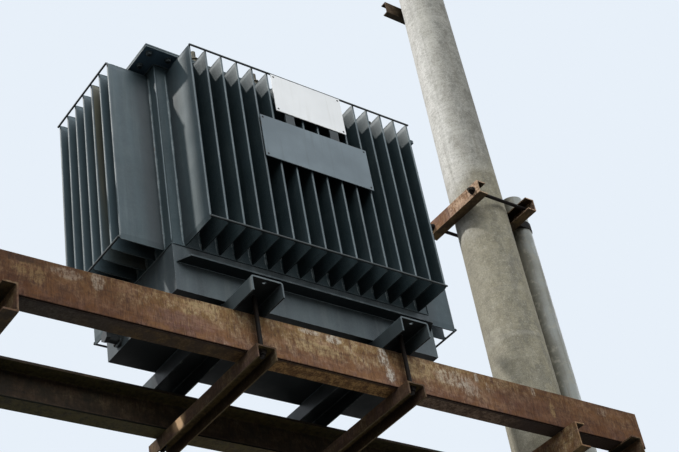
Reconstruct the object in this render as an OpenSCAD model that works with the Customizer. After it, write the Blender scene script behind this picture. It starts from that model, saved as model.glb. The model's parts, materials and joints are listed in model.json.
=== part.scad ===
// Distribution transformer on a steel platform between two round concrete poles.
// Millimetres, from ground level up. X runs along the platform, Y from the low-voltage
// side to the high-voltage side, and Z is up. The origin is the foot of the right pole.

/* [Poles] */
// Distance between the axes of the two poles
pole_spacing = 2650; // [2400:10:3000]
// Height of the poles above the ground
pole_h = 8900; // [7500:50:10500]
// Diameter of a pole at its top
pole_top_d = 190; // [160:5:220]
// Diameter of a pole at ground level
pole_foot_d = 323.5; // [280:0.5:340]
// Chamfer round the pole's top
pole_chamfer = 12; // [5:1:25]
// Diameter of the bolt holes through the poles
pole_hole_d = 18; // [17:0.5:22]
// Distance from the pole's top down to its spare bolt hole
spare_hole_drop = 300; // [150:10:600]

/* [Platform beams] */
// Height of the beams' top above the ground
beam_top_z = 4265; // [3500:5:5000]
// How far the beams reach past the poles' axes
beam_overhang = 275; // [260:5:400]
// Depth of the beam channel
beam_h = 160; // [140:5:200]
// Flange width of the beam channel
beam_flange_w = 70; // [60:1:80]
// Web thickness of the beam channel
beam_web_t = 8; // [6:0.5:10]
// Flange thickness of the beam channel
beam_flange_t = 10; // [8:0.5:12]
// Distance from the poles' axes to the front beam's outer face
front_beam_y = 283; // [265:1:320]
// Distance from the poles' axes to the rear beam's outer face
rear_beam_y = 320; // [270:1:350]

/* [Cross members on the poles] */
// Depth of the cross member channel
member_h = 105; // [90:1:125]
// Flange width of the cross member channel
member_flange_w = 50; // [42:1:60]
// Plate thickness of the cross member channel
member_t = 6; // [5:0.5:8]
// How far the cross members stick out past the beams
member_overhang = 62; // [45:1:90]
// Depth of the small clamp arms higher on the poles
arm_h = 65; // [55:1:80]
// Flange width of the small clamp arms
arm_flange_w = 50; // [42:1:60]
// Plate thickness of the small clamp arms
arm_t = 5; // [4:0.5:7]
// Length of the small clamp arms
arm_l = 370; // [350:5:420]
// Height of the small clamp arms' middle above the beams' top
arm_z = 1135; // [1050:5:1600]
// Diameter of the threaded rods
rod_d = 16; // [12:1:16]
// Distance from the pole's skin to the rods that pass it
rod_gap = 24; // [20:1:28]

/* [Top brackets] */
// Height of the brackets' underside above the ground
bracket_z = 6800; // [6600:10:7200]
// Length of each bracket
bracket_l = 300; // [240:10:400]
// Depth of the bracket channel
bracket_h = 75; // [65:5:120]
// Flange width of the bracket channel
bracket_flange_w = 32; // [28:1:60]
// Plate thickness of the bracket channel
bracket_t = 6; // [5:0.5:8]

/* [Clamp bars under the transformer] */
// Width of a clamp bar
clamp_bar_w = 78; // [65:1:90]
// Height of a clamp bar
clamp_bar_h = 50; // [40:1:60]
// Plate thickness of a clamp bar
clamp_bar_t = 6; // [5:0.5:8]
// How far the clamp bars stick out past the beams
clamp_bar_overhang = 56; // [48:1:70]
// Shift of the clamp bars and their rods from the skids' middles
hold_down_shift = 10; // [0:1:15]

/* [Riser pipe] */
// Outside diameter of the pipe
riser_d = 110; // [90:1:125]
// Wall of the pipe
riser_wall = 4; // [3:0.5:6]
// Height of the pipe's mouth above the ground
riser_top_z = 5570; // [5520:5:6200]
// Thickness of the pipe straps
strap_t = 4; // [3:0.5:5]
// Height of each pipe strap
strap_h = 40; // [30:1:50]

/* [Tank] */
// Distance of the tank's middle from the middle between the poles
tank_shift = 42; // [0:1:60]
// Length of the tank between its corrugated walls
tank_l = 1130; // [1120:2:1160]
// Width of the tank between its corrugated walls
tank_w = 480; // [470:2:520]
// Height of the plain band below the fins
skirt_h = 193; // [170:1:230]
// Plate thickness of the plain band and floor
skirt_t = 6; // [5:0.5:8]
// Thickness of the corrugated wall's sheet
wall_t = 4; // [3:0.5:6]
// Bare wall between the fins' top and the rim
wall_margin = 26; // [10:1:34]

/* [Fins] */
// Height of the fins
fin_h = 821; // [700:1:900]
// How far the fins stand out of the wall
fin_depth = 173; // [140:1:190]
// Thickness of a fin
fin_t = 9; // [8:0.5:11]
// Thickness of the pinched seam at each end of a fin
seam_t = 3; // [2:0.5:4]
// Height over which a fin is pinched
pinch_h = 22; // [15:1:35]
// Number of fins on the long walls
long_count = 16; // [14:1:16]
// Distance from the tank's corner to the first fin on the long walls
long_margin = 52; // [40:0.5:60]
// Number of fins on the short walls
short_count = 7; // [5:1:7]
// Distance from the tank's corner to the first fin on the short walls
short_margin = 48.9; // [40:0.1:60]
// Diameter of the tie wires across the fins' tips
wire_d = 8; // [6:0.5:10]
// Distance of the tie wires from the fins' ends
wire_inset = 6; // [5:1:20]

/* [Cover] */
// How far the rim and cover stand out of the walls
cover_overhang = 72; // [70:1:100]
// Thickness of the rim
rim_t = 6; // [5:1:14]
// How far the rim reaches inwards from the walls
rim_inward = 20; // [15:1:30]
// Thickness of the gasket
gasket_t = 3; // [2:0.5:6]
// How far the gasket stays inside the rim's edge
gasket_inset = 5; // [3:1:12]
// Thickness of the cover
cover_t = 6; // [5:1:14]

/* [Skids and base flanges] */
// Distance between the middles of the two skids
skid_spacing = 632; // [600:2:680]
// Width of a skid
skid_w = 128; // [110:2:140]
// Height of a skid
skid_h = 62; // [50:1:80]
// Plate thickness of a skid
skid_t = 6; // [5:0.5:8]
// Length of a skid
skid_l = 818; // [800:2:860]
// Outer bend radius of a skid
skid_bend_r = 10; // [9:0.5:14]
// Diameter of the towing holes in the skids
tow_hole_d = 14; // [10:1:18]
// Distance from a skid's end to its towing hole
tow_hole_inset = 18; // [14:1:30]
// How far the base flanges stand out of the tank
base_flange_w = 52; // [40:1:60]
// Thickness of the base flanges
base_flange_t = 6; // [5:0.5:8]
// Distance from the fins' bottom down to the base flanges' top
base_flange_drop = 72; // [60:1:100]
// Distance from the tank's corner to a base flange's end
base_flange_inset = 8; // [4:1:40]
// How much shorter a base flange is at its outer edge
base_flange_slant = 30; // [10:1:45]

/* [Bushings] */
// Distance between low-voltage bushings
lv_pitch = 285; // [200:1:290]
// Shift of the low-voltage row towards the right
lv_shift = 88; // [0:1:92]
// Distance of the low-voltage row from the tank's middle
lv_y = 185; // [160:1:190]
// Body diameter of a low-voltage insulator
lv_body_d = 62; // [55:1:70]
// Shed diameter of a low-voltage insulator
lv_shed_d = 84; // [80:1:92]
// Height of a low-voltage insulator
lv_body_h = 110; // [95:1:130]
// Diameter of the low-voltage studs
lv_stud_d = 20; // [16:1:24]
// Height of the low-voltage studs above the cover
lv_stud_top = 196; // [180:1:215]
// Distance between high-voltage bushings
hv_pitch = 300; // [260:5:330]
// Distance of the high-voltage row from the tank's middle
hv_y = 140; // [110:1:150]
// Body diameter of a high-voltage insulator
hv_body_d = 72; // [64:1:80]
// Shed diameter of a high-voltage insulator
hv_shed_d = 118; // [104:1:130]
// Height of a high-voltage insulator
hv_body_h = 245; // [220:5:270]
// Diameter of the high-voltage studs
hv_stud_d = 12; // [10:1:16]
// Height of the high-voltage studs above the cover
hv_stud_top = 318; // [305:1:340]
// Height of an insulator's foot
foot_h = 10; // [8:1:14]
// How far an insulator's foot is wider than its body, all round
foot_lip = 10; // [8:1:12]
// How far a clamp collar is wider than the foot, all round
collar_lip = 14; // [10:1:18]
// Thickness of a clamp collar above the foot
collar_t = 6; // [5:0.5:9]
// Clearance between a clamp collar and its insulator
collar_gap = 0.5; // [0.3:0.1:1]

/* [Plates on the fins] */
// Width of the white plate
white_plate_w = 325; // [250:1:400]
// Height of the white plate
white_plate_h = 186; // [120:1:190]
// Distance from the fins' bottom to the white plate
white_plate_z = 622; // [600:1:630]
// Width of the grey plate
grey_plate_w = 489; // [400:1:560]
// Height of the grey plate
grey_plate_h = 200; // [150:1:210]
// Distance from the fins' bottom to the grey plate
grey_plate_z = 370; // [340:1:380]
// Thickness of both plates
plate_t = 3; // [2:0.5:4]
// Width of the two holding strips
holder_w = 40; // [30:1:50]
// Thickness of the holding strips
holder_t = 8; // [6:0.5:9]

/* [Fittings] */
// Diameter of the oil filler's neck
filler_d = 60; // [50:1:76]
// Height of the oil filler's neck
filler_h = 80; // [60:1:110]
// Diameter of the tap switch's base
tap_base_d = 80; // [70:1:90]
// Width of a lifting lug
lug_w = 90; // [80:1:110]
// Height of a lifting lug
lug_h = 95; // [80:1:120]
// Thickness of a lifting lug
lug_t = 14; // [10:1:18]
// Diameter of the lifting holes
lug_hole_d = 36; // [30:1:42]
// Distance from the cover's end to a lifting lug
lug_inset = 4; // [2:1:20]
// Distance from the tank's end to the fittings on the cover
fitting_inset = 100; // [80:1:120]
// Distance of the drain valve behind the tank's middle
drain_y = 150; // [100:1:170]
// Height of the drain valve above the tank's floor
drain_z = 38; // [34:1:50]
// Diameter of an earth boss
boss_d = 34; // [28:1:40]
// How far an earth boss stands out
boss_l = 22; // [18:1:30]
// Diameter of the tapped hole in an earth boss
boss_hole_d = 10.2; // [8.5:0.1:14]
// Height of the earth bosses above the tank's floor
boss_z = 60; // [40:1:80]
// Distance from the tank's rear right corner to an earth boss
boss_inset = 60; // [45:1:90]

/* [Hidden] */

$fn = 64;
// Gap left between a piece and the round or welded face that it bears on
seat = 0.3;
// Extra length that lets a cutting tool pass right through
cut = 1;
// Inner corner radius of rolled channels, as a share of their plate thickness
root_share = 0.8;
// Hexagon nuts and washers, as shares of the rod's diameter
nut_share = 1.8;
nut_h_share = 0.8;
washer_share = 2.2;
washer_t = 3;
thread_end = 10;
hole_play = 2;

beam_l = pole_spacing + 2 * beam_overhang;
beam_z = beam_top_z - beam_h;
member_z = beam_z - member_h;
arm_mid_z = beam_top_z + arm_z;
tank_z = beam_top_z + skid_h;
fin_z = tank_z + skirt_h;
wall_h = fin_h + wall_margin;
rim_z = fin_z + wall_h;
gasket_z = rim_z + rim_t;
cover_z = gasket_z + gasket_t;
cover_top_z = cover_z + cover_t;
member_l = front_beam_y + rear_beam_y + 2 * member_overhang;
clamp_bar_l = front_beam_y + rear_beam_y + 2 * clamp_bar_overhang;
beams_mid_y = (rear_beam_y - front_beam_y) / 2;
riser_r = riser_d / 2;
fin_tip = fin_depth + seat;
long_pitch = (tank_l - 2 * long_margin) / (long_count - 1);
short_pitch = (tank_w - 2 * short_margin) / (short_count - 1);

// Radius of a pole at height z
function pole_r(z) = (pole_top_d + (pole_foot_d - pole_top_d) * (1 - z / pole_h)) / 2;

// Distance from a pole's axis to the toes and the back of channels clamped on it at z
function toe_x(z) = pole_r(z) + seat;
member_back_x = toe_x(member_z) + member_flange_w;
arm_back_x = toe_x(arm_mid_z - arm_h / 2) + arm_flange_w;
riser_x = max(member_back_x, arm_back_x) + seat + riser_r;

// Rolled channel: the back of the web on x = 0, flanges towards +x, y up from 0
module channel_outline(w, h, web, flange) {
    r = web * root_share;
    difference() {
        square([w, h]);
        translate([web + r, flange]) square([w, h - 2 * flange]);
        translate([web, flange + r]) square([w, h - 2 * (flange + r)]);
        for (y = [flange + r, h - flange - r]) translate([web + r, y]) circle(r);
    }
}

// Channel bent from plate: laid like the rolled one, with round outer corners
module bent_outline(w, h, t, bend_r) {
    corners = [[bend_r, bend_r], [bend_r, h - bend_r]];
    difference() {
        union() {
            translate([bend_r, 0]) square([w - bend_r, h]);
            translate([0, bend_r]) square([2 * bend_r, h - 2 * bend_r]);
            for (c = corners) translate(c) circle(bend_r);
        }
        translate([bend_r, t]) square([w, h - 2 * t]);
        translate([t, bend_r]) square([bend_r, h - 2 * bend_r]);
        for (c = corners) translate(c) circle(bend_r - t);
    }
}

// Lays an outline in the YZ plane and runs it along X
module along_x(l) {
    rotate([90, 0, 90]) linear_extrude(l, center = true) children();
}

// Lays an outline in the XZ plane and runs it along Y
module along_y(l) {
    rotate([90, 0, 0]) linear_extrude(l, center = true) children();
}

// Rod along Z with washers and nuts that grip outwards from z = 0 and z = grip
module clamp_rod(d, grip) {
    nut_h = d * nut_h_share;
    reach = washer_t + nut_h + thread_end;
    translate([0, 0, -reach]) cylinder(h = grip + 2 * reach, d = d);
    for (end = [[0, 1], [grip, 0]]) translate([0, 0, end[0]]) mirror([0, 0, end[1]]) {
        cylinder(h = washer_t, d = d * washer_share);
        translate([0, 0, washer_t]) cylinder(h = nut_h, d = d * nut_share, $fn = 6);
    }
}

// Puts children at each pole
module at_pole(side) {
    translate([side * pole_spacing / 2, 0, 0]) children();
}

// Puts children at the tank's middle
module at_tank(z) {
    translate([tank_shift, 0, z]) children();
}

module pole(side) {
    foot_r = pole_r(0);
    neck_r = pole_r(pole_h - pole_chamfer);
    color("#a59d8c") at_pole(side) difference() {
        rotate_extrude() polygon([[0, 0], [foot_r, 0], [neck_r, pole_h - pole_chamfer],
            [neck_r - pole_chamfer, pole_h], [0, pole_h]]);
        for (z = [bracket_z + bracket_h / 2, pole_h - spare_hole_drop])
            translate([0, 0, z]) rotate([90, 0, 0])
                cylinder(h = 2 * foot_r, d = pole_hole_d, center = true);
    }
}

module beam(y, side) {
    color("#6b4a3a") translate([0, y, beam_z]) mirror([0, side, 0])
        along_x(beam_l) channel_outline(beam_flange_w, beam_h, beam_web_t, beam_flange_t);
}

// Channel clamped on a pole by its toes; dir is the side of the pole that it lies on
module pole_channel(side, dir, back_x, z, l, mid_y, w, h, t, rod_z) {
    at_pole(side) difference() {
        translate([dir * back_x, mid_y, z]) mirror([dir > 0 ? 1 : 0, 0, 0])
            along_y(l) channel_outline(w, h, t, t);
        for (y = [-1, 1]) translate([0, y * (pole_r(rod_z) + rod_gap), rod_z])
            rotate([0, 90, 0]) cylinder(h = 2 * back_x + cut, d = rod_d + hole_play, center = true);
    }
}

module cross_member(side, dir) {
    color("#5f4636") pole_channel(side, dir, member_back_x, member_z, member_l, beams_mid_y,
        member_flange_w, member_h, member_t, member_z + member_h / 2);
}

module clamp_arms(side) {
    color("#7a5a44") for (dir = [-1, 1])
        pole_channel(side, dir, arm_back_x, arm_mid_z - arm_h / 2, arm_l, 0,
            arm_flange_w, arm_h, arm_t, arm_mid_z);
}

// Back of a top bracket, which bears on the rear of the pole
bracket_y = pole_r(bracket_z) + seat;

module top_brackets() {
    color("#4f4a3f") for (side = [-1, 1]) at_pole(side) difference() {
        translate([0, bracket_y, bracket_z]) along_x(bracket_l)
            channel_outline(bracket_flange_w, bracket_h, bracket_t, bracket_t);
        translate([0, bracket_y, bracket_z + bracket_h / 2]) rotate([90, 0, 0])
            cylinder(h = 4 * bracket_t, d = rod_d + hole_play, center = true);
    }
}

module rod_pair(z, back_x) {
    for (y = [-1, 1]) translate([-back_x, y * (pole_r(z) + rod_gap), z])
        rotate([0, 90, 0]) clamp_rod(rod_d, 2 * back_x);
}

module tie_rods() {
    bolt_front_y = pole_r(bracket_z + bracket_h / 2) + seat;
    bolt_grip = bolt_front_y + bracket_y + bracket_t;
    color("#6a625a") for (side = [-1, 1]) at_pole(side) {
        rod_pair(member_z + member_h / 2, member_back_x);
        rod_pair(arm_mid_z, arm_back_x);
        translate([0, bracket_y + bracket_t, bracket_z + bracket_h / 2]) rotate([90, 0, 0])
            clamp_rod(rod_d, bolt_grip);
    }
}

// Rods that pull the skids and the clamp bars together, just outside the beams
hold_down_y = [-front_beam_y - clamp_bar_overhang / 2, rear_beam_y + clamp_bar_overhang / 2];
function hold_down_x(side) = side * skid_spacing / 2 + hold_down_shift;

module clamp_bars() {
    color("#6b4a3a") for (side = [-1, 1])
        at_tank(beam_z) translate([hold_down_x(side), 0, 0]) difference() {
            translate([0, beams_mid_y, 0]) along_y(clamp_bar_l) rotate(-90)
                translate([0, -clamp_bar_w / 2])
                channel_outline(clamp_bar_h, clamp_bar_w, clamp_bar_t, clamp_bar_t);
            for (y = hold_down_y) translate([0, y, 0])
                cylinder(h = 4 * clamp_bar_t, d = rod_d + hole_play, center = true);
        }
}

module hold_down_rods() {
    grip = beam_h + skid_h + clamp_bar_t;
    color("#5a4a40") for (side = [-1, 1], y = hold_down_y)
        at_tank(beam_z - clamp_bar_t) translate([hold_down_x(side), y, 0])
            clamp_rod(rod_d, grip);
}

module riser_pipe() {
    color("#9a9a90") at_pole(1) translate([riser_x, 0, 0]) difference() {
        cylinder(h = riser_top_z, d = riser_d);
        translate([0, 0, -cut]) cylinder(h = riser_top_z + 2 * cut, d = riser_d - 2 * riser_wall);
    }
}

// Strap outline in plan: round the pipe and back to a saddle on the channel at back_x
module strap_outline(back_x) {
    inner_r = riser_r + seat;
    outer_r = inner_r + strap_t;
    saddle = riser_x - back_x - seat;
    difference() {
        union() {
            circle(outer_r);
            translate([-saddle, -outer_r]) square([saddle, 2 * outer_r]);
            translate([-saddle, -outer_r - strap_h / 2])
                square([strap_t, 2 * outer_r + strap_h]);
        }
        circle(inner_r);
        translate([-saddle - outer_r, -outer_r - strap_h]) square([outer_r, 2 * (outer_r + strap_h)]);
    }
}

module pipe_straps() {
    color("#7d7f7c") at_pole(1) translate([riser_x, 0, 0]) {
        translate([0, 0, member_z + (member_h - strap_h) / 2])
            linear_extrude(strap_h) strap_outline(member_back_x);
        translate([0, 0, arm_mid_z - strap_h / 2])
            linear_extrude(strap_h) strap_outline(arm_back_x);
    }
}

module skid(side) {
    color("#4d5b5f") at_tank(beam_top_z) translate([side * skid_spacing / 2, 0, 0]) difference() {
        along_y(skid_l) translate([0, skid_h]) rotate(-90) translate([0, -skid_w / 2])
            bent_outline(skid_h, skid_w, skid_t, skid_bend_r);
        for (y = hold_down_y) translate([hold_down_shift, y, skid_h])
            cylinder(h = 4 * skid_t, d = rod_d + hole_play, center = true);
        for (end = [-1, 1]) translate([0, end * (skid_l / 2 - tow_hole_inset), skid_h])
            cylinder(h = 4 * skid_t, d = tow_hole_d, center = true);
    }
}

module tank_base() {
    color("#5d6b70") at_tank(tank_z) difference() {
        translate([-tank_l / 2, -tank_w / 2, 0]) cube([tank_l, tank_w, skirt_h]);
        translate([-tank_l / 2 + skirt_t, -tank_w / 2 + skirt_t, skirt_t])
            cube([tank_l - 2 * skirt_t, tank_w - 2 * skirt_t, skirt_h]);
    }
}

module base_flanges() {
    half = tank_l / 2 - base_flange_inset;
    color("#5d6b70") at_tank(fin_z - base_flange_drop - base_flange_t) for (side = [0, 1])
        mirror([0, side, 0]) linear_extrude(base_flange_t)
            polygon([[-half, -tank_w / 2], [half, -tank_w / 2],
                [half - base_flange_slant, -tank_w / 2 - base_flange_w],
                [-half + base_flange_slant, -tank_w / 2 - base_flange_w]]);
}

// Fins seen from above: flat sides and a round outer fold
module fin_plan(count, pitch) {
    for (i = [0 : count - 1]) translate([(i - (count - 1) / 2) * pitch, 0]) {
        translate([-fin_t / 2, fin_t / 2 - fin_depth]) square([fin_t, fin_depth - fin_t / 2]);
        translate([0, fin_t / 2 - fin_depth]) circle(fin_t / 2);
    }
}

// Fins seen end on: pinched to a seam at the top and at the bottom
module fin_ends(count, pitch) {
    side = [[seam_t / 2, 0], [fin_t / 2, pinch_h], [fin_t / 2, fin_h - pinch_h], [seam_t / 2, fin_h]];
    other = [for (i = [len(side) - 1 : -1 : 0]) [-side[i][0], side[i][1]]];
    for (i = [0 : count - 1]) translate([(i - (count - 1) / 2) * pitch, 0])
        polygon(concat(side, other));
}

// Corrugated wall: outer face of the sheet on y = 0, fins towards -y
module fin_wall(l, count, pitch) {
    translate([-l / 2, 0, 0]) cube([l, wall_t, wall_h]);
    intersection() {
        linear_extrude(fin_h) fin_plan(count, pitch);
        rotate([90, 0, 0]) linear_extrude(fin_depth + cut) fin_ends(count, pitch);
    }
}

module long_fin_wall(turn) {
    color("#6c7b81") at_tank(fin_z) rotate(turn) translate([0, -tank_w / 2, 0])
        fin_wall(tank_l, long_count, long_pitch);
}

module short_fin_wall(turn) {
    color("#6c7b81") at_tank(fin_z) rotate(turn) translate([0, -tank_l / 2, 0])
        fin_wall(tank_w - 2 * wall_t, short_count, short_pitch);
}

// Wires across the tips of one row of fins
module tie_wires(wall_y, count, pitch) {
    l = (count - 1) * pitch + fin_t;
    for (z = [wire_inset, fin_h - wire_inset])
        translate([0, -wall_y - fin_tip - wire_d / 2, z]) rotate([0, 90, 0])
            cylinder(h = l, d = wire_d, center = true);
}

module fin_tie_wires() {
    color("#4d595d") at_tank(fin_z) {
        for (turn = [0, 180]) rotate(turn) tie_wires(tank_w / 2, long_count, long_pitch);
        for (turn = [90, 270]) rotate(turn) tie_wires(tank_l / 2, short_count, short_pitch);
    }
}

// Flat frame that follows the tank: out beyond the walls and in from them
module tank_frame(out, inward, t) {
    difference() {
        translate([-tank_l / 2 - out, -tank_w / 2 - out, 0])
            cube([tank_l + 2 * out, tank_w + 2 * out, t]);
        translate([-tank_l / 2 + inward, -tank_w / 2 + inward, -cut])
            cube([tank_l - 2 * inward, tank_w - 2 * inward, t + 2 * cut]);
    }
}

module rim_flange() {
    color("#5d6b70") at_tank(rim_z) tank_frame(cover_overhang, rim_inward, rim_t);
}

module cover_gasket() {
    color("#2c2c2c") at_tank(gasket_z)
        tank_frame(cover_overhang - gasket_inset, rim_inward, gasket_t);
}

module cover() {
    out = cover_overhang;
    color("#64737a") at_tank(cover_z) translate([-tank_l / 2 - out, -tank_w / 2 - out, 0])
        cube([tank_l + 2 * out, tank_w + 2 * out, cover_t]);
}

// Places in the two bushing rows
function lv_x(i) = lv_shift + (i - 2.5) * lv_pitch;
function hv_x(i) = (i - 2) * hv_pitch;

// Insulator with a foot, a body and round-edged sheds
module insulator(body_d, shed_d, h, sheds, shed_t) {
    body_r = body_d / 2;
    shed_r = shed_d / 2;
    neck = foot_h + collar_t + 4 * collar_gap;
    pitch = (h - neck) / sheds;
    cylinder(h = foot_h, r = body_r + foot_lip);
    cylinder(h = h, r = body_r);
    for (i = [0 : sheds - 1]) translate([0, 0, neck + i * pitch]) rotate_extrude() {
        polygon([[body_r - cut, 0], [shed_r - shed_t / 2, 0], [shed_r - shed_t / 2, shed_t],
            [body_r - cut, pitch - cut]]);
        translate([shed_r - shed_t / 2, shed_t / 2]) circle(shed_t / 2);
    }
}

lv_shed_t = 12;
lv_sheds = 2;
hv_shed_t = 10;
hv_sheds = 5;

module lv_bushing(i) {
    color("#7a3f2c") at_tank(cover_top_z) translate([lv_x(i), -lv_y, 0])
        insulator(lv_body_d, lv_shed_d, lv_body_h, lv_sheds, lv_shed_t);
}

module hv_bushing(i) {
    color("#7a3f2c") at_tank(cover_top_z) translate([hv_x(i), hv_y, 0])
        insulator(hv_body_d, hv_shed_d, hv_body_h, hv_sheds, hv_shed_t);
}

// Stud on top of an insulator, with a cap washer and two nuts
module terminal(body_h, stud_top, stud_d, cap_d) {
    nut_h = stud_d * nut_h_share;
    translate([0, 0, body_h]) {
        cylinder(h = stud_top - body_h, d = stud_d);
        cylinder(h = washer_t, d = cap_d);
        for (i = [0, 1]) translate([0, 0, washer_t + i * (nut_h + washer_t)]) {
            cylinder(h = nut_h, d = stud_d * nut_share, $fn = 6);
            translate([0, 0, nut_h]) cylinder(h = washer_t, d = stud_d * washer_share);
        }
    }
}

module lv_studs() {
    color("#b08d4a") at_tank(cover_top_z) for (i = [1 : 4]) translate([lv_x(i), -lv_y, 0])
        terminal(lv_body_h, lv_stud_top, lv_stud_d, lv_body_d);
}

module hv_studs() {
    color("#b08d4a") at_tank(cover_top_z) for (i = [1 : 3]) translate([hv_x(i), hv_y, 0])
        terminal(hv_body_h, hv_stud_top, hv_stud_d, hv_body_d * 0.6);
}

// Collar that holds an insulator's foot down on the cover
module collar(body_d) {
    foot_r = body_d / 2 + foot_lip;
    difference() {
        cylinder(h = foot_h + collar_t, r = foot_r + collar_lip);
        translate([0, 0, -cut]) cylinder(h = foot_h + collar_t + 2 * cut, r = body_d / 2 + collar_gap);
        translate([0, 0, -cut]) cylinder(h = foot_h + cut, r = foot_r + collar_gap);
    }
}

module bushing_collars() {
    color("#8c9196") at_tank(cover_top_z) {
        for (i = [1 : 4]) translate([lv_x(i), -lv_y, 0]) collar(lv_body_d);
        for (i = [1 : 3]) translate([hv_x(i), hv_y, 0]) collar(hv_body_d);
    }
}

// Fittings stand in line with the row of high-voltage bushings, near the cover's ends
fitting_x = tank_l / 2 - fitting_inset;

module oil_filler() {
    flange_t = 8;
    cap_h = 28;
    color("#64737a") at_tank(cover_top_z) translate([fitting_x, hv_y, 0]) {
        cylinder(h = flange_t, d = filler_d * 1.6);
        cylinder(h = filler_h, d = filler_d);
        translate([0, 0, filler_h]) cylinder(h = cap_h, d = filler_d * 1.25);
        translate([0, 0, filler_h + cap_h]) cylinder(h = cap_h / 2, d = filler_d * 0.6, $fn = 6);
    }
}

module tap_switch() {
    base_h = 26;
    hub_h = 34;
    grip = [tap_base_d * 0.85, 16, 22];
    color("#8c9196") at_tank(cover_top_z) translate([-fitting_x, hv_y, 0]) {
        cylinder(h = base_h, d = tap_base_d);
        cylinder(h = base_h + hub_h, d = tap_base_d / 2);
        translate([-grip[0] / 2, -grip[1] / 2, base_h + hub_h]) cube(grip);
    }
}

// Lug seen from the side: square foot, round head and a hole for a shackle
module lifting_lugs() {
    head_r = lug_w / 2;
    color("#64737a") at_tank(cover_top_z) for (side = [-1, 1])
        translate([side * (tank_l / 2 + cover_overhang - lug_inset - head_r), 0, 0])
        rotate([90, 0, 0]) linear_extrude(lug_t, center = true) difference() {
            union() {
                translate([-head_r, 0]) square([lug_w, lug_h - head_r]);
                translate([0, lug_h - head_r]) circle(head_r);
            }
            translate([0, lug_h - head_r]) circle(d = lug_hole_d);
        }
}

module drain_valve() {
    body_d = 38;
    body_l = 46;
    hex_d = 46;
    stem_h = 34;
    color("#3f4a4d") at_tank(tank_z) translate([-tank_l / 2, drain_y, drain_z]) {
        rotate([0, -90, 0]) cylinder(h = body_l, d = body_d);
        rotate([0, -90, 0]) cylinder(h = 12, d = 1.5 * body_d);
        translate([-body_l, 0, 0]) rotate([0, -90, 0]) cylinder(h = 16, d = hex_d, $fn = 6);
        translate([-body_l * 0.6, 0, 0]) cylinder(h = body_d / 2 + stem_h, d = 16);
        translate([-body_l * 0.6, 0, body_d / 2 + stem_h]) cylinder(h = 10, d = 30, $fn = 6);
    }
}

// One boss on the right end and one on the rear of the plain band
module earth_boss() {
    difference() {
        cylinder(h = boss_l, d = boss_d);
        translate([0, 0, -cut]) cylinder(h = boss_l + 2 * cut, d = boss_hole_d);
    }
}

module earth_bosses() {
    color("#8c9196") at_tank(tank_z + boss_z) {
        translate([tank_l / 2, tank_w / 2 - boss_inset, 0]) rotate([0, 90, 0]) earth_boss();
        translate([tank_l / 2 - boss_inset, tank_w / 2, 0]) rotate([-90, 0, 0]) earth_boss();
    }
}

// The strips stand on the fins' tips, and the plates on the strips
plate_y = -tank_w / 2 - fin_tip - holder_t;
holder_x = long_pitch * (long_count % 2 == 0 ? 1.5 : 2);
holder_end = 10;

module flat_plate(w, h, z) {
    at_tank(fin_z + z) translate([-w / 2, plate_y - plate_t, 0]) cube([w, plate_t, h]);
}

module white_plate() {
    color("#e6e6e2") flat_plate(white_plate_w, white_plate_h, white_plate_z);
}

module grey_plate() {
    color("#7f8b90") flat_plate(grey_plate_w, grey_plate_h, grey_plate_z);
}

module plate_holders() {
    low = grey_plate_z + holder_end;
    high = white_plate_z + white_plate_h - 3 * holder_end;
    color("#39464a") at_tank(fin_z + low) for (side = [-1, 1])
        translate([side * holder_x - holder_w / 2, plate_y, 0])
            cube([holder_w, holder_t, high - low]);
}

module place() {
    translate([-pole_spacing / 2, 0, 0]) children();
}

place() pole(1);  // right_pole
place() pole(-1);  // left_pole
place() beam(-front_beam_y, 0);  // front_beam
place() beam(rear_beam_y, 1);  // rear_beam
place() cross_member(1, -1);  // right_inner_member
place() cross_member(1, 1);  // right_outer_member
place() cross_member(-1, 1);  // left_inner_member
place() cross_member(-1, -1);  // left_outer_member
place() clamp_arms(1);  // right_clamp_arms
place() clamp_arms(-1);  // left_clamp_arms
place() top_brackets();
place() tie_rods();
place() clamp_bars();
place() hold_down_rods();
place() riser_pipe();
place() pipe_straps();
place() skid(-1);  // left_skid
place() skid(1);  // right_skid
place() tank_base();
place() base_flanges();
place() long_fin_wall(0);  // front_fin_wall
place() long_fin_wall(180);  // rear_fin_wall
place() short_fin_wall(-90);  // left_fin_wall
place() short_fin_wall(90);  // right_fin_wall
place() fin_tie_wires();
place() rim_flange();
place() cover_gasket();
place() cover();
place() lv_bushing(1);  // lv_bushing_1
place() lv_bushing(2);  // lv_bushing_2
place() lv_bushing(3);  // lv_bushing_3
place() lv_bushing(4);  // lv_bushing_4
place() lv_studs();
place() hv_bushing(1);  // hv_bushing_1
place() hv_bushing(2);  // hv_bushing_2
place() hv_bushing(3);  // hv_bushing_3
place() hv_studs();
place() bushing_collars();
place() oil_filler();
place() tap_switch();
place() lifting_lugs();
place() drain_valve();
place() earth_bosses();
place() white_plate();
place() grey_plate();
place() plate_holders();
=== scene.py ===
"""Looks of the pole mounted transformer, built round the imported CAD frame."""

import json
import math
import random

import bpy
from mathutils import Matrix, Vector


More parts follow.
